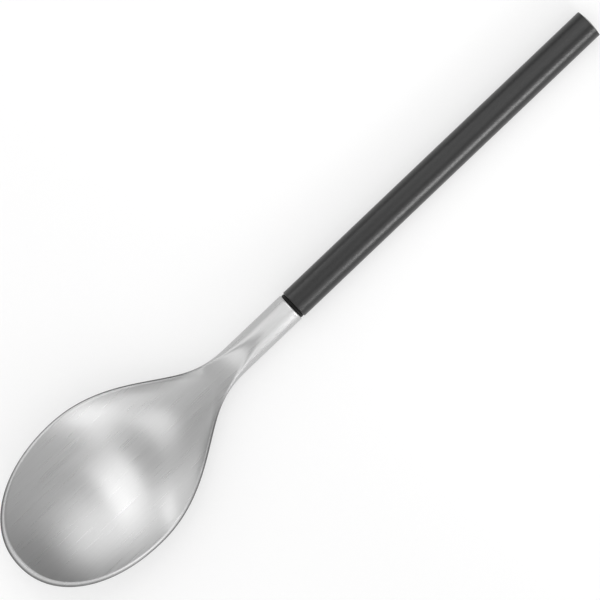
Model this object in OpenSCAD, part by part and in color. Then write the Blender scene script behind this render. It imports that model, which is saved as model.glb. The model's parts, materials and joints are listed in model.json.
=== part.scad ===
// Teaspoon with a satin steel bowl on a round neck, and a black rod for a handle.
// The spoon lies on a table at z = 0: +X runs from the bowl to the handle's end and +Z is up.
// The origin is on the table, under the middle of the spoon.
// The pieces are drawn along the handle's axis, with x = 0 at the bowl's tip, and then laid down.

/* [Overall] */
// Length from the bowl's tip to the handle's end
overall_l = 140; // [130:1:150]

/* [Bowl] */
// Greatest width of the bowl
bowl_w = 29; // [27:0.1:31]
// Distance from the tip to the widest place
bowl_front = 20.9; // [19:0.1:22]
// Distance from the widest place to where the egg shape would close
bowl_back = 26.1; // [24:0.1:27]
// Distance from the tip to the deepest place
bowl_low = 27.5; // [26:0.5:29]
// Depth of the floor below the handle's axis
bowl_drop = 3; // [2.6:0.1:4]
// Height of the tip above the handle's axis
tip_rise = 4; // [3:0.1:5]
// Thickness of the steel at the deepest place
floor_t = 1.2; // [1:0.1:1.6]
// Thickness of the steel at the rim, measured upright
rim_t = 0.75; // [0.6:0.05:0.9]

/* [Neck and tang] */
// Diameter of the round neck
neck_d = 5.6; // [5:0.1:5.6]
// Distance from the tip to the neck's end
neck_end = 66.6; // [65:0.1:70]
// Slope of the flat that leads from the neck's top down into the bowl, in degrees
ramp_slope = 7; // [6:0.5:8]
// Distance from the tip to the place where that flat starts
ramp_start = 57.5; // [57:0.5:60]
// Bevel around the neck's end
neck_bevel = 0.2; // [0.1:0.05:0.3]
// Diameter of the tang inside the handle
tang_d = 3; // [2.6:0.1:3.2]
// Length of the tang beyond the neck
tang_l = 32; // [28:1:40]
// Grooves around the tang that key the adhesive
tang_grooves = 4; // [2:1:5]

/* [Handle] */
// Diameter of the handle
handle_d = 5.6; // [5.6:0.1:6.2]
// Diameter of the bore for the tang
bore_d = 3.4; // [3.3:0.05:3.6]
// Radius of the rounded edge beside the joint
shoulder_r = 0.25; // [0.15:0.05:0.4]
// Height of the dome on the handle's end
dome_h = 0.3; // [0.2:0.05:0.6]

/* [Seal ring] */
// Diameter of the ring in the joint
ring_d = 5.2; // [4.8:0.1:5.2]
// Width of the ring along the handle
ring_w = 0.6; // [0.4:0.1:1]

/* [Hidden] */
$fn = 64;

neck_r = neck_d / 2;
handle_r = handle_d / 2;
tang_r = tang_d / 2;
half_bowl = bowl_w / 2;
handle_start = neck_end + ring_w;

// Gap between the ring and the tang, and between the tang's end and the bore's floor
ring_gap = 0.05;
tang_end_gap = 1;
bore_l = tang_l - ring_w + tang_end_gap;

// Grooves of the tang: width, depth and distance from one to the next
groove_w = 1.2;
groove_depth = 0.25;
groove_pitch = 5;
// Length of the tang that is sunk in the solid neck
tang_root = 4;

// Powers of the egg-shaped outline in front of and behind its widest place
front_power = 2.12;
back_power = 2.07;
// How much fuller than a parabola the bowl is across
fullness = 0.2;
// Rounding of the rim's edge: how far it reaches inwards, and its heights above and below the rim line
rim_edge = 0.3;
lip_top = 0.3;
lip_under = 0.3;
// Least hollow of the flat across the neck
ramp_hollow = 0.3;

// Reach of the blend between the floor and the flat, at the deepest place and at the neck
floor_blend = 1;
ramp_blend = 3.6;
// Reach of the blend between the rim and the hollow, and between the neck and the flat
lip_blend = 0.12;
neck_blend = 0.6;
// Reach of the change from the bowl's depth to the least hollow
hollow_blend = 0.6;

// Where the rim turns into the neck's round top, and where the underside turns into its round bottom
crown_from = 40;
crown_to = 52;
round_from = 34;
round_to = 52;
// Where the rim line leaves the handle's axis, and the power of its rise to the tip
rim_start = 60;
rim_power = 1.6;
// Where the neck is a plain round bar
bar_start = 60;

// Steps of the bowl's surface: tip to widest place, widest place to bar, and across
front_steps = 16;
back_steps = 24;
across_steps = 28;
// Steps of a rounded edge
edge_steps = 6;

// The larger and the smaller of two values, with a smooth change over the reach k
function soft_max(a, b, k) = max(a, b) + k / 6 * pow(max(k - abs(a - b), 0) / k, 3);
function soft_min(a, b, k) = -soft_max(-a, -b, k);

function mix(a, b, t) = a + (b - a) * t;

// A step from 0 to 1 between two places, smooth at both ends
function ease(x, from, to) =
    let (t = min(max((x - from) / (to - from), 0), 1))
    pow(t, 3) * (10 - 15 * t + 6 * t * t);

// Half the width of the spoon's outline at a distance x from the tip
function half_width(x) =
    x < bowl_front
    ? half_bowl * pow(1 - pow(1 - x / bowl_front, front_power), 1 / front_power)
    : soft_max(half_bowl * (1 - pow((x - bowl_front) / bowl_back, back_power)), neck_r, half_bowl - neck_r);

// Heights along the middle of the spoon: the rim, the floor and the underside
function rim_z(x) = tip_rise * pow(max(1 - x / rim_start, 0), rim_power);
function ramp_z(x) = neck_r + tan(ramp_slope) * (x - ramp_start);
function dish_z(x, depth, rise) = (rise + depth) * pow(x / bowl_low - 1, 2) - depth;
function floor_z(x) =
    let (dish = dish_z(x, bowl_drop, tip_rise + rim_t))
    let (reach = mix(floor_blend, ramp_blend, ease(x, bowl_low, crown_to)))
    x < bowl_low ? dish : soft_min(dish, ramp_z(x), reach);
function keel_z(x) =
    let (depth = bowl_drop + floor_t - lip_under)
    let (dish = dish_z(x, depth, tip_rise))
    x < bowl_low ? dish : soft_min(dish, -neck_r, depth - neck_r);

// Shapes across the spoon, where u runs from -1 at one edge to 1 at the other
function dish_across(u) = (1 - u * u) * (1 + fullness * u * u);
function round_across(u) = sqrt(max(1 - u * u, 0));

// Rise of the rounded edge, from 0 at the outline to 1 where the rounding ends
function edge_rise(x, u) =
    let (inset = pow(half_width(x) * round_across(u), 2) / bowl_w)
    let (t = min(inset / rim_edge, 1))
    sqrt(t * (2 - t));

function top_z(x, u) =
    let (neck = ease(x, crown_from, crown_to))
    let (crown = mix(lip_top * edge_rise(x, u), neck_r * round_across(u), neck))
    let (hollow = soft_max(rim_z(x) + rim_t - floor_z(x), ramp_hollow, hollow_blend))
    let (inside = floor_z(x) + hollow * (1 - dish_across(u)))
    soft_min(rim_z(x) + crown, inside, mix(lip_blend, neck_blend, neck));
function under_z(x, u) =
    let (bar = ease(x, round_from, round_to))
    let (edge = mix(lip_under, 0, bar) * edge_rise(x, u))
    let (shape = mix(dish_across(u), round_across(u), bar))
    rim_z(x) - (rim_z(x) - keel_z(x)) * shape - edge;

// One closed section across the steel, shrunk towards the axis by the given amount
function section(x, shrink) =
    let (k = 1 - shrink / neck_r)
    let (across = [for (j = [0 : across_steps]) -cos(180 * j / across_steps)])
    concat(
        [for (j = [0 : across_steps]) [x, k * across[j] * half_width(x), k * top_z(x, across[j])]],
        [for (j = [across_steps - 1 : -1 : 1]) [x, k * across[j] * half_width(x), k * under_z(x, across[j])]]
    );

front_stations = [for (i = [1 : front_steps]) bowl_front * (1 - cos(90 * i / front_steps))];
back_stations = [for (i = [1 : back_steps]) mix(bowl_front, bar_start, i / back_steps)];
stations = concat(front_stations, back_stations, [neck_end - neck_bevel]);

// The lean that brings both the underside and the handle's end to the table
rest_x = overall_l - dome_h;
lean = max([for (x = stations) atan2(-handle_r - under_z(x, 0), rest_x - x)]);
rest_z = rest_x * sin(lean) + handle_r * cos(lean);
middle_x = (tip_rise * sin(lean) + overall_l * cos(lean)) / 2;

// Puts what is drawn along the handle's axis on the table
module laid_down() {
    translate([-middle_x, 0, rest_z])
        rotate([0, lean, 0])
            children();
}

// Turns an outline of radius and distance from the tip into a round solid along the handle's axis
module turned(outline) {
    rotate([0, 90, 0])
        rotate_extrude()
            polygon(outline);
}

// Bowl and neck as one smooth surface over the sections
module bowl_surface() {
    rings = concat([for (x = stations) section(x, 0)], [section(neck_end, neck_bevel)]);
    count = len(rings);
    size = 2 * across_steps;
    tip = count * size;
    centre = tip + 1;
    points = concat([for (ring = rings) each ring], [[0, 0, rim_z(0)], [neck_end, 0, 0]]);
    steps = [for (i = [0 : count - 2], j = [0 : size - 1]) [i * size + j, i * size + (j + 1) % size]];
    skin = [for (s = steps) each [[s[0], s[1], s[1] + size], [s[0], s[1] + size, s[0] + size]]];
    nose = [for (j = [0 : size - 1]) [tip, (j + 1) % size, j]];
    last = tip - size;
    end = [for (j = [0 : size - 1]) [last + j, last + (j + 1) % size, centre]];
    polyhedron(points, concat(skin, nose, end), convexity = 6);
}

// Tang with its keying grooves
module tang() {
    first = handle_start + groove_pitch;
    grooves = [for (i = [0 : tang_grooves - 1])
        let (from = first + i * groove_pitch, to = from + groove_w)
        each [[tang_r, from], [tang_r - groove_depth, from], [tang_r - groove_depth, to], [tang_r, to]]];
    turned(concat(
        [[0, neck_end - tang_root], [tang_r, neck_end - tang_root]],
        grooves,
        [[tang_r, neck_end + tang_l], [0, neck_end + tang_l]]
    ));
}

module bowl() {
    color("silver")
        laid_down()
            union() {
                bowl_surface();
                tang();
            }
}

module seal_ring() {
    color("black")
        laid_down()
            turned([
                [tang_r + ring_gap, neck_end],
                [ring_d / 2, neck_end],
                [ring_d / 2, handle_start],
                [tang_r + ring_gap, handle_start]
            ]);
}

// Outside of the handle: rounded beside the joint, and domed at the end
module handle_rod() {
    dome_r = (handle_r * handle_r + dome_h * dome_h) / (2 * dome_h);
    dome_angle = asin(handle_r / dome_r);
    shoulder = [for (i = [0 : edge_steps])
        let (a = 90 * i / edge_steps)
        [handle_r - shoulder_r * (1 - sin(a)), handle_start + shoulder_r * (1 - cos(a))]];
    dome = [for (i = [0 : edge_steps])
        let (a = dome_angle * (1 - i / edge_steps))
        [dome_r * sin(a), overall_l - dome_r * (1 - cos(a))]];
    turned(concat([[0, handle_start]], shoulder, dome));
}

module bore() {
    turned([[0, handle_start], [bore_d / 2, handle_start], [bore_d / 2, handle_start + bore_l],
        [0, handle_start + bore_l]]);
}

module handle() {
    color([0.12, 0.12, 0.12])
        laid_down()
            difference() {
                handle_rod();
                bore();
            }
}

module adhesive() {
    color("peru")
        laid_down()
            difference() {
                bore();
                tang();
            }
}

bowl();
seal_ring();
handle();
adhesive();
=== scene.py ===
"""Looks of a teaspoon with a satin steel bowl and neck, a dark seal ring and a black rod handle."""

import json
import logging
import math
from dataclasses import dataclass
from enum import Enum

import bmesh
import bpy
import numpy as np
from mathutils import Matrix, Vector


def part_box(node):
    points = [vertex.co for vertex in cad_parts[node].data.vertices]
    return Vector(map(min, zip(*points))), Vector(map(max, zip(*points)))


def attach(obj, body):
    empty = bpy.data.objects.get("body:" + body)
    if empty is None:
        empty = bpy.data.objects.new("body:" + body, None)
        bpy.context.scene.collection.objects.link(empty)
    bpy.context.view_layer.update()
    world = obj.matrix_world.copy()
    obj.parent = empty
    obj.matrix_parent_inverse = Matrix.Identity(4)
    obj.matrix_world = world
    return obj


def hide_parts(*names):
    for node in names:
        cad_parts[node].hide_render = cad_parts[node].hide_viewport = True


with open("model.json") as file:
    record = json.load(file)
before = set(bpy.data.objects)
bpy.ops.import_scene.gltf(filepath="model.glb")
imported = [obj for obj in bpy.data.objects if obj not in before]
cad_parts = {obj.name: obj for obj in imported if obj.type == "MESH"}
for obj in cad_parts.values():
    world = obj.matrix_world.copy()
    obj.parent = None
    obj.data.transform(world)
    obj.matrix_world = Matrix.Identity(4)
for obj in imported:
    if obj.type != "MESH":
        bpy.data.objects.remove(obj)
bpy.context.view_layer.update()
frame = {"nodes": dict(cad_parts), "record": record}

MM = 0.001
BODY = "root"
# Edges that turn by more than this are drawn sharp.
SHARP_DEG = 30.0
# Vertex attribute that marks where the bowl's edge gets painted shade.
RIM_SHADE_ATTRIBUTE = "painted_rim_shade"
BRUSHING_MAP = "brushing"
# Most values of a noise pattern lie between these two.
NOISE_LOW = 0.3
NOISE_HIGH = 0.7
NOISE_DETAIL = 2.0
# Numbers of the colour sockets of a Mix node: its two inputs and its result.
MIX_A = 6
MIX_B = 7
MIX_RESULT = 2
LOG = logging.getLogger("teaspoon")

Ring = list[tuple[float, float, float]]


class CadNode(Enum):
    """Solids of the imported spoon."""

    BOWL = "bowl"
    SEAL_RING = "seal_ring"
    HANDLE = "handle"
    ADHESIVE = "adhesive"


class Slot(Enum):
    """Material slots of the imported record."""

    STEEL = "steel"
    RING = "ring"
    HANDLE = "handle"
    BOND = "bond"


def linear(code: str) -> tuple[float, float, float, float]:
    """Turns an sRGB colour into a linear one.

    Args:
        code: The colour as six hex digits after a hash sign.

    Returns:
        Linear red, green, blue and an alpha of 1.
    """
    shares = [int(code[i : i + 2], 16) / 255 for i in (1, 3, 5)]
    red, green, blue = [s / 12.92 if s <= 0.04045 else ((s + 0.055) / 1.055) ** 2.4 for s in shares]
    return red, green, blue, 1.0


def add_node(
    tree: bpy.types.NodeTree, kind: str, settings: dict | None = None, links: dict | None = None
) -> bpy.types.Node:
    """Adds a node to a tree.

    Args:
        tree: The tree that gets the node.
        kind: Blender's name for the node's type.
        settings: Values by the name of a property or the name or number of an input.
        links: Output sockets by the name or number of the input that they feed.

    Returns:
        The new node.
    """
    node = tree.nodes.new(kind)
    for key, value in (settings or {}).items():
        if isinstance(key, str) and hasattr(node, key):
            setattr(node, key, value)
        else:
            node.inputs[key].default_value = value
    for key, socket in (links or {}).items():
        tree.links.new(socket, node.inputs[key])
    return node


def new_material(name: str) -> tuple[bpy.types.Material, bpy.types.NodeTree]:
    """Makes an empty node material.

    Args:
        name: The material's name.

    Returns:
        The material and its node tree.
    """
    material = bpy.data.materials.new(name)
    material.use_nodes = True
    material.node_tree.nodes.clear()
    return material, material.node_tree


def soft_max(a: np.ndarray, b: np.ndarray | float, reach: float) -> np.ndarray:
    """Gives the larger of two values, with a smooth change where they come within reach of each other.

    Args:
        a: First values.
        b: Second values.
        reach: Difference below which the change is smoothed.

    Returns:
        The blended values.
    """
    closeness = np.maximum(reach - np.abs(a - b), 0) / reach
    return np.maximum(a, b) + reach / 6 * closeness**3


def soft_min(a: np.ndarray, b: np.ndarray | float, reach: float) -> np.ndarray:
    """Gives the smaller of two values, smoothed as soft_max does."""
    return -soft_max(-a, -b, reach)


def mix(a: np.ndarray | float, b: np.ndarray | float, share: np.ndarray | float) -> np.ndarray | float:
    """Gives the value that lies the given share of the way from a to b."""
    return a + (b - a) * share


def ease(x: np.ndarray, start: float, end: float) -> np.ndarray:
    """Steps from 0 to 1 between two places, smoothly at both ends.

    Args:
        x: Distances.
        start: Where the step leaves 0.
        end: Where the step reaches 1.

    Returns:
        Shares from 0 to 1.
    """
    t = np.clip((x - start) / (end - start), 0, 1)
    return t**3 * (10 - 15 * t + 6 * t**2)


@dataclass(frozen=True)
class SpoonAxis:
    """The handle's axis as the spoon lies on the table, with x = 0 at the bowl's tip."""

    origin: Vector
    along: Vector
    across: Vector
    up: Vector
    length_mm: float
    rod_radius_mm: float

    @classmethod
    def from_frame(cls, dome_height_mm: float) -> "SpoonAxis":
        """Works the axis out from the handle's mount and the bowl's box.

        Args:
            dome_height_mm: Height of the dome on the handle's end, which lies beyond the mount.

        Returns:
            The axis.
        """
        mount = frame["record"]["mounts"][0]
        along = Vector(mount["axis"]).normalized()
        across = Vector((0, 1, 0))
        up = along.cross(across)
        half_length = mount["dims"]["length_mm"] / 2
        end = Vector(mount["pos_m"]) + along * (half_length + dome_height_mm) * MM
        low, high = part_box(CadNode.BOWL.value)
        tip = Vector((low.x, 0, high.z))
        length = (end - tip).dot(along)
        return cls(end - along * length, along, across, up, length / MM, mount["dims"]["r_mm"])

    def matrix(self) -> Matrix:
        """Gives the matrix that puts points in mm along the axis into the row frame."""
        turn = Matrix((self.along, self.across, self.up)).transposed()
        return Matrix.Translation(self.origin) @ turn.to_4x4() @ Matrix.Scale(MM, 4)


def loft(name: str, rings: list[Ring], axis: SpoonAxis, sharp_deg: float) -> bpy.types.Object:
    """Skins closed rings of points that run along the spoon's axis.

    A ring of one point closes an end. The UV map runs across the spoon in u and along it in v,
    so that its tangent lies across the brushing.

    Args:
        name: The object's name.
        rings: Rings of points in mm along the axis, from one end to the other.
        axis: The axis that the points are laid along.
        sharp_deg: Angle above which an edge is sharp.

    Returns:
        The new object, linked to the scene.
    """
    mesh = bpy.data.meshes.new(name)
    work = bmesh.new()
    uv = work.loops.layers.uv.new(BRUSHING_MAP)
    matrix = axis.matrix()
    rows = [[work.verts.new(matrix @ Vector(point)) for point in ring] for ring in rings]
    widest = max(len(ring) for ring in rings)
    for i in range(len(rows) - 1):
        here, there = rows[i], rows[i + 1]
        v_here, v_there = i / len(rows), (i + 1) / len(rows)
        for j in range(widest):
            k = (j + 1) % widest
            u, u_next = j / widest, (j + 1) / widest
            if len(here) == 1:
                corners = [(here[0], u, v_here), (there[k], u_next, v_there), (there[j], u, v_there)]
            elif len(there) == 1:
                corners = [(here[j], u, v_here), (here[k], u_next, v_here), (there[0], u, v_there)]
            else:
                corners = [
                    (here[j], u, v_here),
                    (here[k], u_next, v_here),
                    (there[k], u_next, v_there),
                    (there[j], u, v_there),
                ]
            face = work.faces.new([corner[0] for corner in corners])
            face.smooth = True
            for loop, corner in zip(face.loops, corners):
                loop[uv].uv = corner[1:]
    bmesh.ops.recalc_face_normals(work, faces=work.faces)
    work.to_mesh(mesh)
    work.free()
    mesh.set_sharp_from_angle(angle=math.radians(sharp_deg))
    piece = bpy.data.objects.new(name, mesh)
    bpy.context.scene.collection.objects.link(piece)
    return piece


def turned_rings(profile: list[tuple[float, float]], sides: int) -> list[Ring]:
    """Turns an outline about the spoon's axis.

    Args:
        profile: Pairs of distance from the tip and radius, in mm. A radius of 0 closes an end.
        sides: Steps of a full turn.

    Returns:
        Rings for loft.
    """
    angles = [math.pi - 2 * math.pi * j / sides for j in range(sides)]
    rings = []
    for x, radius in profile:
        if radius == 0:
            rings.append([(x, 0.0, 0.0)])
        else:
            rings.append([(x, radius * math.cos(a), radius * math.sin(a)) for a in angles])
    return rings


def arc(
    centre: tuple[float, float], radius: float, start_deg: float, end_deg: float, steps: int
) -> list[tuple[float, float]]:
    """Gives points on an arc of a turned outline.

    Args:
        centre: Distance from the tip and radius of the arc's centre.
        radius: The arc's own radius.
        start_deg: Angle of the first point, counted from the spoon's axis.
        end_deg: Angle of the last point.
        steps: Steps between the two.

    Returns:
        Pairs of distance from the tip and radius.
    """
    angles = [math.radians(mix(start_deg, end_deg, i / steps)) for i in range(steps + 1)]
    return [(centre[0] + radius * math.cos(a), centre[1] + radius * math.sin(a)) for a in angles]


def settle(piece: bpy.types.Object, node: CadNode) -> None:
    """Lets a piece stand for its CAD node and ride on the spoon's one body.

    Args:
        piece: The dressed piece.
        node: The CAD node that it replaces.
    """
    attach(piece, BODY)
    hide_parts(node.value)
    LOG.info("%s: %d vertices, stands for %s", piece.name, len(piece.data.vertices), node.value)


@dataclass(frozen=True)
class BrushedStainless:
    """Stainless steel, rolled, pressed and satin brushed along the spoon, with a dark line painted along
    the bowl's edge.

    The brushing blurs what the metal reflects, and more across the strokes than along them. The dark line
    along the edge is painted shade: it stands for the dark surroundings mirrored in the rim, and draws a
    thin dark line around the bowl.
    """

    dark_colour: str = "#b8b8b8"
    light_colour: str = "#c4c4c4"
    # Painted shade: the dark colour of the line painted along the bowl's edge.
    rim_shade_colour: str = "#686868"
    roughness: float = 0.3
    roughness_spread: float = 0.03
    anisotropy: float = 0.9
    # Real strokes are about 0.05 mm wide. They are drawn wider, so that they show.
    stroke_width_mm: float = 0.2
    stroke_length_mm: float = 9.0

    def material(self) -> bpy.types.Material:
        """Makes the material.

        Returns:
            The new material.
        """
        material, tree = new_material("brushed_stainless_steel")
        place = add_node(tree, "ShaderNodeTexCoord")
        per_length = 1 / (self.stroke_length_mm * MM)
        per_width = 1 / (self.stroke_width_mm * MM)
        stretched = add_node(
            tree,
            "ShaderNodeMapping",
            {"Scale": (per_length, per_width, per_length)},
            {"Vector": place.outputs["Object"]},
        )
        strokes = add_node(
            tree,
            "ShaderNodeTexNoise",
            {"Scale": 1.0, "Detail": NOISE_DETAIL},
            {"Vector": stretched.outputs["Vector"]},
        )
        tone = add_node(
            tree,
            "ShaderNodeMix",
            {"data_type": "RGBA", MIX_A: linear(self.dark_colour), MIX_B: linear(self.light_colour)},
            {"Factor": strokes.outputs["Fac"]},
        )
        # The bowl's edge is painted darker here, as painted shade for the dark surroundings that the rim
        # mirrors.
        edge = add_node(tree, "ShaderNodeAttribute", {"attribute_name": RIM_SHADE_ATTRIBUTE})
        rim_shaded = add_node(
            tree,
            "ShaderNodeMix",
            {"data_type": "RGBA", MIX_B: linear(self.rim_shade_colour)},
            {"Factor": edge.outputs["Fac"], MIX_A: tone.outputs[MIX_RESULT]},
        )
        rough = add_node(
            tree,
            "ShaderNodeMapRange",
            {
                "From Min": NOISE_LOW,
                "From Max": NOISE_HIGH,
                "To Min": self.roughness - self.roughness_spread,
                "To Max": self.roughness + self.roughness_spread,
            },
            {"Value": strokes.outputs["Fac"]},
        )
        tangent = add_node(
            tree,
            "ShaderNodeTangent",
            {"direction_type": "UV_MAP", "uv_map": BRUSHING_MAP},
        )
        shader = add_node(
            tree,
            "ShaderNodeBsdfPrincipled",
            {"Metallic": 1.0, "Anisotropic": self.anisotropy},
            {
                "Base Color": rim_shaded.outputs[MIX_RESULT],
                "Roughness": rough.outputs["Result"],
                "Tangent": tangent.outputs["Tangent"],
            },
        )
        add_node(tree, "ShaderNodeOutputMaterial", links={"Surface": shader.outputs["BSDF"]})
        return material


@dataclass(frozen=True)
class MouldedPlastic:
    """A plastic, rubber or resin that took the fine grain of its mould.

    The grain breaks the highlight up and keeps the surface between matt and satin.
    """

    name: str
    colour: str
    light_colour: str
    roughness: float
    roughness_spread: float
    specular: float
    ior: float
    grain_mm: float
    grain_depth: float

    def material(self) -> bpy.types.Material:
        """Makes the material.

        Returns:
            The new material.
        """
        material, tree = new_material(self.name)
        place = add_node(tree, "ShaderNodeTexCoord")
        grain = add_node(
            tree,
            "ShaderNodeTexNoise",
            {"Scale": 1 / (self.grain_mm * MM), "Detail": NOISE_DETAIL},
            {"Vector": place.outputs["Object"]},
        )
        tone = add_node(
            tree,
            "ShaderNodeMix",
            {"data_type": "RGBA", MIX_A: linear(self.colour), MIX_B: linear(self.light_colour)},
            {"Factor": grain.outputs["Fac"]},
        )
        rough = add_node(
            tree,
            "ShaderNodeMapRange",
            {
                "From Min": NOISE_LOW,
                "From Max": NOISE_HIGH,
                "To Min": self.roughness - self.roughness_spread,
                "To Max": self.roughness + self.roughness_spread,
            },
            {"Value": grain.outputs["Fac"]},
        )
        bump = add_node(
            tree,
            "ShaderNodeBump",
            {"Strength": self.grain_depth, "Distance": self.grain_mm * MM},
            {"Height": grain.outputs["Fac"]},
        )
        shader = add_node(
            tree,
            "ShaderNodeBsdfPrincipled",
            {"IOR": self.ior, "Specular IOR Level": self.specular},
            {
                "Base Color": tone.outputs[MIX_RESULT],
                "Roughness": rough.outputs["Result"],
                "Normal": bump.outputs["Normal"],
            },
        )
        add_node(tree, "ShaderNodeOutputMaterial", links={"Surface": shader.outputs["BSDF"]})
        return material


# The rod is black with a satin sheen, and its highlight is a soft line.
ACETAL = MouldedPlastic(
    name="moulded_black_acetal",
    colour="#080808",
    light_colour="#0c0c0c",
    roughness=0.32,
    roughness_spread=0.03,
    specular=0.62,
    ior=1.48,
    grain_mm=0.35,
    grain_depth=0.06,
)

# The ring is a dull black that hardly mirrors the lamps.
ELASTOMER = MouldedPlastic(
    name="moulded_black_elastomer",
    colour="#060606",
    light_colour="#0c0c0c",
    roughness=0.55,
    roughness_spread=0.04,
    specular=0.2,
    ior=1.5,
    grain_mm=0.2,
    grain_depth=0.1,
)

# The bonding is amber and slightly cloudy.
EPOXY = MouldedPlastic(
    name="cast_epoxy",
    colour="#8c6a3c",
    light_colour="#a27c48",
    roughness=0.3,
    roughness_spread=0.05,
    specular=0.5,
    ior=1.55,
    grain_mm=1.5,
    grain_depth=0.05,
)


@dataclass(frozen=True)
class SteelBowl:
    """Bowl, neck and tang in one piece of steel.

    Sizes are in mm. Distances along the spoon count from the bowl's tip, and heights from the
    handle's axis.
    """

    axis: SpoonAxis
    width: float
    finish: BrushedStainless
    front: float = 20.9
    back: float = 26.1
    low: float = 27.5
    drop: float = 3.0
    tip_rise: float = 4.0
    floor_thickness: float = 1.2
    rim_thickness: float = 0.75
    neck_radius: float = 2.8
    neck_end: float = 66.6
    neck_bevel: float = 0.2
    ramp_slope_deg: float = 7.0
    ramp_start: float = 57.5
    tang_radius: float = 1.5
    tang_length: float = 32.0
    front_power: float = 2.12
    back_power: float = 2.07
    fullness: float = 0.2
    rim_edge: float = 0.3
    # Widths in mm of the dark line painted along the bowl's edge as shade, along the sides and at the
    # tip.
    painted_rim_shade: float = 0.45
    rim_shade_tip: float = 1.0
    lip_top: float = 0.3
    lip_under: float = 0.3
    ramp_hollow: float = 0.3
    floor_blend: float = 1.0
    ramp_blend: float = 3.6
    hollow_blend: float = 0.6
    lip_blend: float = 0.12
    neck_blend: float = 0.6
    crown_span: tuple[float, float] = (40.0, 52.0)
    round_span: tuple[float, float] = (34.0, 52.0)
    rim_start: float = 60.0
    rim_power: float = 1.6
    bar_start: float = 60.0
    front_steps: int = 56
    back_steps: int = 110
    across_steps: int = 84
    bevel_steps: int = 5

    def half_width(self, x: np.ndarray) -> np.ndarray:
        """Gives half the width of the outline.

        Args:
            x: Distances from the tip.

        Returns:
            Half widths of the egg shape, and of the neck behind it.
        """
        half = self.width / 2
        ahead = np.clip(1 - x / self.front, 0, 1)
        egg_front = half * (1 - ahead**self.front_power) ** (1 / self.front_power)
        behind = np.clip((x - self.front) / self.back, 0, None)
        egg_back = half * (1 - behind**self.back_power)
        waist = soft_max(egg_back, self.neck_radius, half - self.neck_radius)
        return np.where(x < self.front, egg_front, waist)

    def rim_z(self, x: np.ndarray) -> np.ndarray:
        """Gives the height of the rim line."""
        return self.tip_rise * np.clip(1 - x / self.rim_start, 0, None) ** self.rim_power

    def dish_z(self, x: np.ndarray, depth: float, rise: float) -> np.ndarray:
        """Gives a parabola with its depth at the deepest place and its rise at the tip."""
        return (rise + depth) * (x / self.low - 1) ** 2 - depth

    def floor_z(self, x: np.ndarray) -> np.ndarray:
        """Gives the height of the floor along the middle, with the ramp up to the neck.

        Args:
            x: Distances from the tip.

        Returns:
            Heights over the handle's axis.
        """
        dish = self.dish_z(x, self.drop, self.tip_rise + self.rim_thickness)
        ramp = self.neck_radius + math.tan(math.radians(self.ramp_slope_deg)) * (x - self.ramp_start)
        reach = mix(self.floor_blend, self.ramp_blend, ease(x, self.low, self.crown_span[1]))
        return np.where(x < self.low, dish, soft_min(dish, ramp, reach))

    def keel_z(self, x: np.ndarray) -> np.ndarray:
        """Gives the height of the underside along the middle.

        Args:
            x: Distances from the tip.

        Returns:
            Heights over the handle's axis.
        """
        depth = self.drop + self.floor_thickness - self.lip_under
        dish = self.dish_z(x, depth, self.tip_rise)
        neck = -self.neck_radius
        return np.where(x < self.low, dish, soft_min(dish, neck, depth + neck))

    def dish_across(self, u: np.ndarray) -> np.ndarray:
        """Gives the bowl's shape across, from 0 at the edges to 1 in the middle."""
        return (1 - u**2) * (1 + self.fullness * u**2)

    def inset(self, x: np.ndarray, u: np.ndarray) -> np.ndarray:
        """Gives about the distance inwards from the outline."""
        return self.half_width(x) ** 2 * (1 - u**2) / self.width

    def edge_rise(self, x: np.ndarray, u: np.ndarray) -> np.ndarray:
        """Gives the rise of the rounded rim, from 0 at the outline to 1 where the rounding ends."""
        share = np.clip(self.inset(x, u) / self.rim_edge, 0, 1)
        return np.sqrt(share * (2 - share))

    def top_z(self, x: np.ndarray, u: np.ndarray) -> np.ndarray:
        """Gives the height of the top surface.

        Args:
            x: Distance from the tip.
            u: Place across, from -1 at one edge to 1 at the other.

        Returns:
            Heights over the handle's axis.
        """
        arch = np.sqrt(np.clip(1 - u**2, 0, None))
        lip = self.lip_top * self.edge_rise(x, u)
        neck = ease(x, *self.crown_span)
        crown = mix(lip, self.neck_radius * arch, neck)
        depth = self.rim_z(x) + self.rim_thickness - self.floor_z(x)
        hollow = soft_max(depth, self.ramp_hollow, self.hollow_blend)
        inside = self.floor_z(x) + hollow * (1 - self.dish_across(u))
        reach = mix(self.lip_blend, self.neck_blend, neck)
        return soft_min(self.rim_z(x) + crown, inside, reach)

    def under_z(self, x: np.ndarray, u: np.ndarray) -> np.ndarray:
        """Gives the height of the underside.

        Args:
            x: Distance from the tip.
            u: Place across, from -1 at one edge to 1 at the other.

        Returns:
            Heights over the handle's axis.
        """
        arch = np.sqrt(np.clip(1 - u**2, 0, None))
        bar = ease(x, *self.round_span)
        edge = mix(self.lip_under, 0, bar) * self.edge_rise(x, u)
        shape = mix(self.dish_across(u), arch, bar)
        return self.rim_z(x) - (self.rim_z(x) - self.keel_z(x)) * shape - edge

    def section(self, x: float, shrink: float) -> Ring:
        """Gives one closed ring across the steel.

        Args:
            x: Distance from the tip.
            shrink: How far the ring is drawn in towards the axis.

        Returns:
            Points over the top from one edge to the other, and back underneath.
        """
        u = -np.cos(np.linspace(0, math.pi, self.across_steps + 1))
        place = np.full_like(u, x)
        top = self.top_z(place, u)
        under = self.under_z(place, u)[-2:0:-1]
        y = np.concatenate([u, u[-2:0:-1]]) * self.half_width(place)[0]
        z = np.concatenate([top, under])
        share = 1 - shrink / self.neck_radius
        return [(x, float(a) * share, float(b) * share) for a, b in zip(y, z)]

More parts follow.
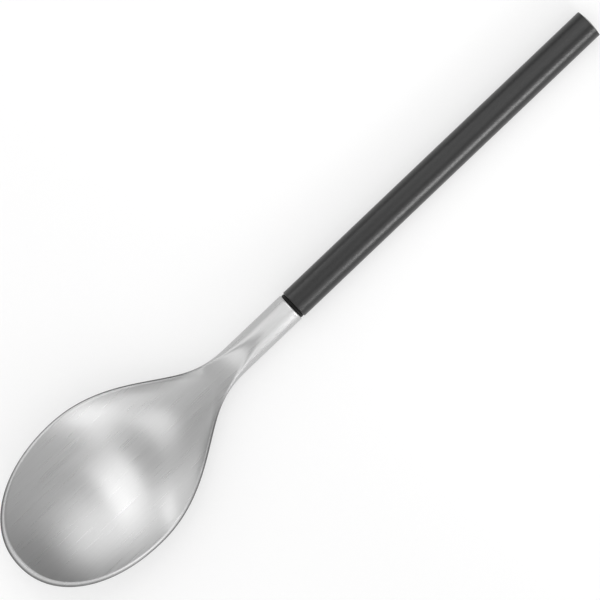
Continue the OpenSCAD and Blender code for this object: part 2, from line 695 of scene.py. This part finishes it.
    def stations(self) -> np.ndarray:
        """Gives the places of the rings along the spoon, closer together towards the tip.

        Returns:
            Distances from the tip, up to where the neck's end is rounded.
        """
        turn = np.linspace(0, math.pi / 2, self.front_steps + 1)[1:]
        ahead = self.front * (1 - np.cos(turn))
        behind = np.linspace(self.front, self.bar_start, self.back_steps + 1)[1:]
        # Two rings close together keep the shading of the rounded end off the neck.
        end = self.neck_end - self.neck_bevel * np.array([2, 1])
        return np.concatenate([ahead, behind, end])

    def rounded_end(self) -> list[Ring]:
        """Gives the rings that round the neck's end over the width of its bevel.

        Returns:
            Rings from the first one behind the bevel's start to the neck's end face.
        """
        start = self.neck_end - self.neck_bevel
        turns = np.linspace(0, math.pi / 2, self.bevel_steps + 1)[1:]
        places = start + self.neck_bevel * np.sin(turns)
        shrinks = self.neck_bevel * (1 - np.cos(turns))
        return [self.section(float(x), float(shrink)) for x, shrink in zip(places, shrinks)]

    def tang(self) -> list[Ring]:
        """Gives the tang that goes on from the neck's end inside the handle.

        Returns:
            Rings for loft, which close the steel's end.
        """
        end = self.neck_end + self.tang_length
        profile = [(self.neck_end, self.tang_radius), (end, self.tang_radius), (end, 0)]
        return turned_rings(profile, 2 * self.across_steps)

    def mark_painted_rim_shade(self, piece: bpy.types.Object) -> None:
        """Marks how far each vertex lies in the dark line painted along the bowl's edge as shade, which
        is wider at the tip.

        The mark is 0 on the faces and 1 on the outline, where the painted shade is darkest, and it fades
        out along the neck.

        Args:
            piece: The steel piece, which gets the marks as a vertex attribute.
        """
        spots = np.empty(3 * len(piece.data.vertices))
        piece.data.vertices.foreach_get("co", spots)
        to_axis = np.array(self.axis.matrix().inverted())
        x, y, _ = to_axis[:3, :3] @ spots.reshape(-1, 3).T + to_axis[:3, 3:]
        half = np.maximum(self.half_width(x), self.painted_rim_shade)
        width = mix(self.rim_shade_tip, self.painted_rim_shade, ease(x, 0, self.front))
        share = 1 - np.clip(self.inset(x, y / half) / width, 0, 1)
        mark = share * (1 - ease(x, *self.crown_span))
        piece.data.attributes.new(RIM_SHADE_ATTRIBUTE, "FLOAT", "POINT").data.foreach_set("value", mark)

    def build(self) -> bpy.types.Object:
        """Builds the steel piece and dresses it.

        Returns:
            The steel piece.
        """
        rings = [[(0.0, 0.0, self.tip_rise)]]
        rings += [self.section(float(x), 0) for x in self.stations()]
        rings += self.rounded_end()
        rings += self.tang()
        piece = loft("steel_bowl", rings, self.axis, SHARP_DEG)
        self.mark_painted_rim_shade(piece)
        piece.data.materials.append(self.finish.material())
        settle(piece, CadNode.BOWL)
        return piece


@dataclass(frozen=True)
class SealRing:
    """Elastomer ring in the joint between the neck and the handle, with sizes in mm."""

    axis: SpoonAxis
    finish: MouldedPlastic
    start: float = 66.6
    width: float = 0.6
    radius: float = 2.6
    bore_radius: float = 1.55
    edge_radius: float = 0.15
    edge_steps: int = 6
    sides: int = 128

    def build(self) -> bpy.types.Object:
        """Builds the ring and dresses it.

        Returns:
            The ring.
        """
        end = self.start + self.width
        edge = self.edge_radius
        near = arc((self.start + edge, self.radius - edge), edge, 180, 90, self.edge_steps)
        far = arc((end - edge, self.radius - edge), edge, 90, 0, self.edge_steps)
        profile = [(self.start, self.bore_radius), *near, *far, (end, self.bore_radius)]
        rings = turned_rings(profile, self.sides)
        piece = loft("joint_seal_ring", rings + rings[:1], self.axis, SHARP_DEG)
        piece.data.materials.append(self.finish.material())
        settle(piece, CadNode.SEAL_RING)
        return piece


@dataclass(frozen=True)
class RodHandle:
    """Round rod with a rounded shoulder, a domed end and a blind bore, with sizes in mm."""

    axis: SpoonAxis
    finish: MouldedPlastic
    dome_height: float
    start: float = 67.2
    bore_radius: float = 1.7
    bore_length: float = 32.4
    shoulder_radius: float = 0.25
    edge_steps: int = 8
    dome_steps: int = 16
    sides: int = 128

    def build(self) -> bpy.types.Object:
        """Builds the handle and dresses it.

        Returns:
            The handle.
        """
        radius = self.axis.rod_radius_mm
        bore_end = self.start + self.bore_length
        bore = [(bore_end, 0), (bore_end, self.bore_radius), (self.start, self.bore_radius)]
        shoulder_centre = (self.start + self.shoulder_radius, radius - self.shoulder_radius)
        shoulder = arc(shoulder_centre, self.shoulder_radius, 180, 90, self.edge_steps)
        dome_radius = (radius**2 + self.dome_height**2) / (2 * self.dome_height)
        dome_angle = math.degrees(math.asin(radius / dome_radius))
        dome = arc((self.axis.length_mm - dome_radius, 0), dome_radius, dome_angle, 0, self.dome_steps)
        profile = bore + shoulder + dome[:-1] + [(self.axis.length_mm, 0)]
        piece = loft("rod_handle", turned_rings(profile, self.sides), self.axis, SHARP_DEG)
        piece.data.materials.append(self.finish.material())
        settle(piece, CadNode.HANDLE)
        return piece


@dataclass(frozen=True)
class Adhesive:
    """Cured bonding around the tang, shown by its own CAD node inside the handle."""

    finish: MouldedPlastic

    def build(self) -> bpy.types.Object:
        """Dresses the CAD node.

        Returns:
            The CAD node with its finish.
        """
        piece = frame["nodes"][CadNode.ADHESIVE.value]
        piece.data.materials.clear()
        piece.data.materials.append(self.finish.material())
        LOG.info("%s: carried over from the CAD model", piece.name)
        return piece


@dataclass(frozen=True)
class SoftBox:
    """A lamp panel that faces the spoon, with its place as angles seen from where it aims.

    A grid on its face keeps the light within an angle of the panel's own direction.
    """

    name: str
    zenith_deg: float
    azimuth_deg: float
    roll_deg: float
    width_m: float
    height_m: float
    radiance: float
    distance_m: float = 2.0
    aim_x_m: float = 0.0
    grid_deg: float = 90.0

    def grid_gain(self) -> float:
        """Gives how much more light a grid sends straight ahead for the same power."""
        half = math.radians(self.grid_deg)
        return 1 / (1 - half / math.tan(half))

    def build(self) -> bpy.types.Object:
        """Hangs the panel.

        Its power is what gives its face the stated radiance straight ahead.

        Returns:
            The lamp object.
        """
        lamp = bpy.data.lights.new(self.name, "AREA")
        lamp.shape = "RECTANGLE"
        lamp.size = self.width_m
        lamp.size_y = self.height_m
        lamp.energy = self.radiance * math.pi * self.width_m * self.height_m / self.grid_gain()
        lamp.spread = math.radians(2 * self.grid_deg)
        azimuth = math.radians(self.azimuth_deg)
        zenith = math.radians(self.zenith_deg)
        level = math.sin(zenith)
        direction = Vector((level * math.cos(azimuth), level * math.sin(azimuth), math.cos(zenith)))
        facing = direction.to_track_quat("Z", "Y").to_matrix().to_4x4()
        panel = bpy.data.objects.new(self.name, lamp)
        panel.matrix_world = (
            Matrix.Translation(Vector((self.aim_x_m, 0, 0)) + direction * self.distance_m)
            @ facing
            @ Matrix.Rotation(math.radians(self.roll_deg), 4, "Z")
        )
        panel.visible_camera = False
        bpy.context.scene.collection.objects.link(panel)
        return panel


@dataclass(frozen=True)
class Studio:
    """White floor, soft surroundings and lamp panels around the spoon."""

    panels: tuple[SoftBox, ...]
    floor_colour: str = "#bcbcbc"
    floor_half_m: float = 6.0
    tooth_mm: float = 0.6
    tooth_depth: float = 0.02
    floor_lift: float = 0.485
    sky_level: float = 0.62
    sky_slope: tuple[float, float, float] = (-0.26, -0.25, 0.0)

    def floor_material(self) -> bpy.types.Material:
        """Makes white uncoated card, whose fine tooth keeps it matt.

        Returns:
            The new material.
        """
        material, tree = new_material("white_uncoated_card")
        place = add_node(tree, "ShaderNodeTexCoord")
        tooth = add_node(
            tree,
            "ShaderNodeTexNoise",
            {"Scale": 1 / (self.tooth_mm * MM), "Detail": NOISE_DETAIL},
            {"Vector": place.outputs["Object"]},
        )
        bump = add_node(
            tree,
            "ShaderNodeBump",
            {"Strength": self.tooth_depth, "Distance": self.tooth_mm * MM},
            {"Height": tooth.outputs["Fac"]},
        )
        card = add_node(
            tree,
            "ShaderNodeBsdfDiffuse",
            {"Color": linear(self.floor_colour)},
            {"Normal": bump.outputs["Normal"]},
        )
        path = add_node(tree, "ShaderNodeLightPath")
        seen = add_node(
            tree,
            "ShaderNodeMath",
            {"operation": "MAXIMUM"},
            {0: path.outputs["Is Camera Ray"], 1: path.outputs["Is Glossy Ray"]},
        )
        seen_at_all = add_node(
            tree,
            "ShaderNodeMath",
            {"operation": "MAXIMUM"},
            {0: seen.outputs["Value"], 1: path.outputs["Is Transmission Ray"]},
        )
        strength = add_node(
            tree,
            "ShaderNodeMath",
            {"operation": "MULTIPLY", 1: self.floor_lift},
            {0: seen_at_all.outputs["Value"]},
        )
        lift = add_node(tree, "ShaderNodeEmission", links={"Strength": strength.outputs["Value"]})
        both = add_node(
            tree, "ShaderNodeAddShader", links={0: card.outputs["BSDF"], 1: lift.outputs["Emission"]}
        )
        add_node(tree, "ShaderNodeOutputMaterial", links={"Surface": both.outputs["Shader"]})
        return material

    def build_floor(self) -> bpy.types.Object:
        """Lays the floor at the height of the table.

        Returns:
            The floor.
        """
        mesh = bpy.data.meshes.new("studio_floor")
        work = bmesh.new()
        half = self.floor_half_m
        corners = [(-half, -half, 0), (half, -half, 0), (half, half, 0), (-half, half, 0)]
        work.faces.new([work.verts.new(corner) for corner in corners])
        work.to_mesh(mesh)
        work.free()
        floor = bpy.data.objects.new("studio_floor", mesh)
        floor.data.materials.append(self.floor_material())
        bpy.context.scene.collection.objects.link(floor)
        return floor

    def build_sky(self) -> None:
        """Makes the soft surroundings, which are lighter at the bowl's end and on the -Y side."""
        world = bpy.data.worlds.new("studio_surroundings")
        world.use_nodes = True
        tree = world.node_tree
        tree.nodes.clear()
        place = add_node(tree, "ShaderNodeTexCoord")
        slope = add_node(
            tree,
            "ShaderNodeVectorMath",
            {"operation": "DOT_PRODUCT", 1: self.sky_slope},
            {0: place.outputs["Generated"]},
        )
        strength = add_node(
            tree,
            "ShaderNodeMath",
            {"operation": "ADD", 1: self.sky_level},
            {0: slope.outputs["Value"]},
        )
        light = add_node(
            tree,
            "ShaderNodeBackground",
            {"Color": linear("#ffffff")},
            {"Strength": strength.outputs["Value"]},
        )
        add_node(tree, "ShaderNodeOutputWorld", links={"Surface": light.outputs["Background"]})
        bpy.context.scene.world = world

    def build(self) -> None:
        """Builds the floor, the surroundings and the panels."""
        self.build_floor()
        self.build_sky()
        for panel in self.panels:
            panel.build()


@dataclass(frozen=True)
class StudioCamera:
    """Long lens that looks straight down on the spoon, which lies from corner to corner."""

    axis: SpoonAxis
    centre_x_mm: float = 68.59
    centre_y_mm: float = -0.2
    turn_deg: float = 43.59
    view_width_mm: float = 106.68
    distance_m: float = 1.2
    sensor_mm: float = 36.0
    reach_m: float = 100.0

    def build(self) -> bpy.types.Object:
        """Sets the camera up and makes it the scene's.

        Returns:
            The camera.
        """
        data = bpy.data.cameras.new("studio_camera")
        data.sensor_width = self.sensor_mm
        data.lens = self.sensor_mm * self.distance_m / (self.view_width_mm * MM)
        data.clip_end = self.reach_m
        camera = bpy.data.objects.new("studio_camera", data)
        turn = math.radians(self.turn_deg)
        right = self.axis.along * math.cos(turn) - self.axis.across * math.sin(turn)
        upward = self.axis.along * math.sin(turn) + self.axis.across * math.cos(turn)
        aim = self.axis.matrix() @ Vector((self.centre_x_mm, self.centre_y_mm, 0))
        place = Matrix((right, upward, self.axis.up)).transposed().to_4x4()
        place.translation = aim + self.axis.up * self.distance_m
        camera.matrix_world = place
        bpy.context.scene.collection.objects.link(camera)
        bpy.context.scene.camera = camera
        return camera


DOME_HEIGHT_MM = 0.3

# Zenith, azimuth and roll in degrees, then width and height in metres, then the radiance.
PANELS = (
    SoftBox("overhead", 10.2, 43.0, 43.5, 0.55, 1.47, 1.48),
    SoftBox("overhead_fill", 32.0, 45.0, -40.0, 1.8, 1.0, 0.35),
    SoftBox("bowl_top", 21.5, 200.3, -22.8, 1.58, 0.4, 0.9),
    SoftBox("key_strip", 66.0, 252.5, 2.0, 1.0, 0.34, 1.7),
    SoftBox("low_strip", 72.5, 262.5, 0.0, 0.8, 0.1, 4.5),
    SoftBox(
        "handle_strip", 65.0, 270.0, 0.0, 0.084, 0.11, 12.5, distance_m=0.18, aim_x_m=0.045, grid_deg=15.0
    ),
    SoftBox("low_fill", 67.0, 97.5, 0.0, 0.28, 0.5, 1.6),
    SoftBox("side_strip", 46.7, 261.0, -24.0, 0.4, 1.2, 1.1),
    SoftBox("fill_wall", 46.3, 81.2, -40.3, 4.6, 1.1, 1.03),
)


def main() -> None:
    """Builds the spoon's pieces, the studio and the camera."""
    logging.basicConfig(level=logging.INFO, format="%(name)s: %(message)s")
    axis = SpoonAxis.from_frame(DOME_HEIGHT_MM)
    low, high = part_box(CadNode.BOWL.value)
    SteelBowl(axis, (high.y - low.y) / MM, BrushedStainless()).build()
    SealRing(axis, ELASTOMER).build()
    RodHandle(axis, ACETAL, DOME_HEIGHT_MM).build()
    Adhesive(EPOXY).build()
    Studio(PANELS).build()
    StudioCamera(axis).build()
    bpy.context.scene.view_settings.view_transform = "Standard"


if __name__ == "__main__":
    main()
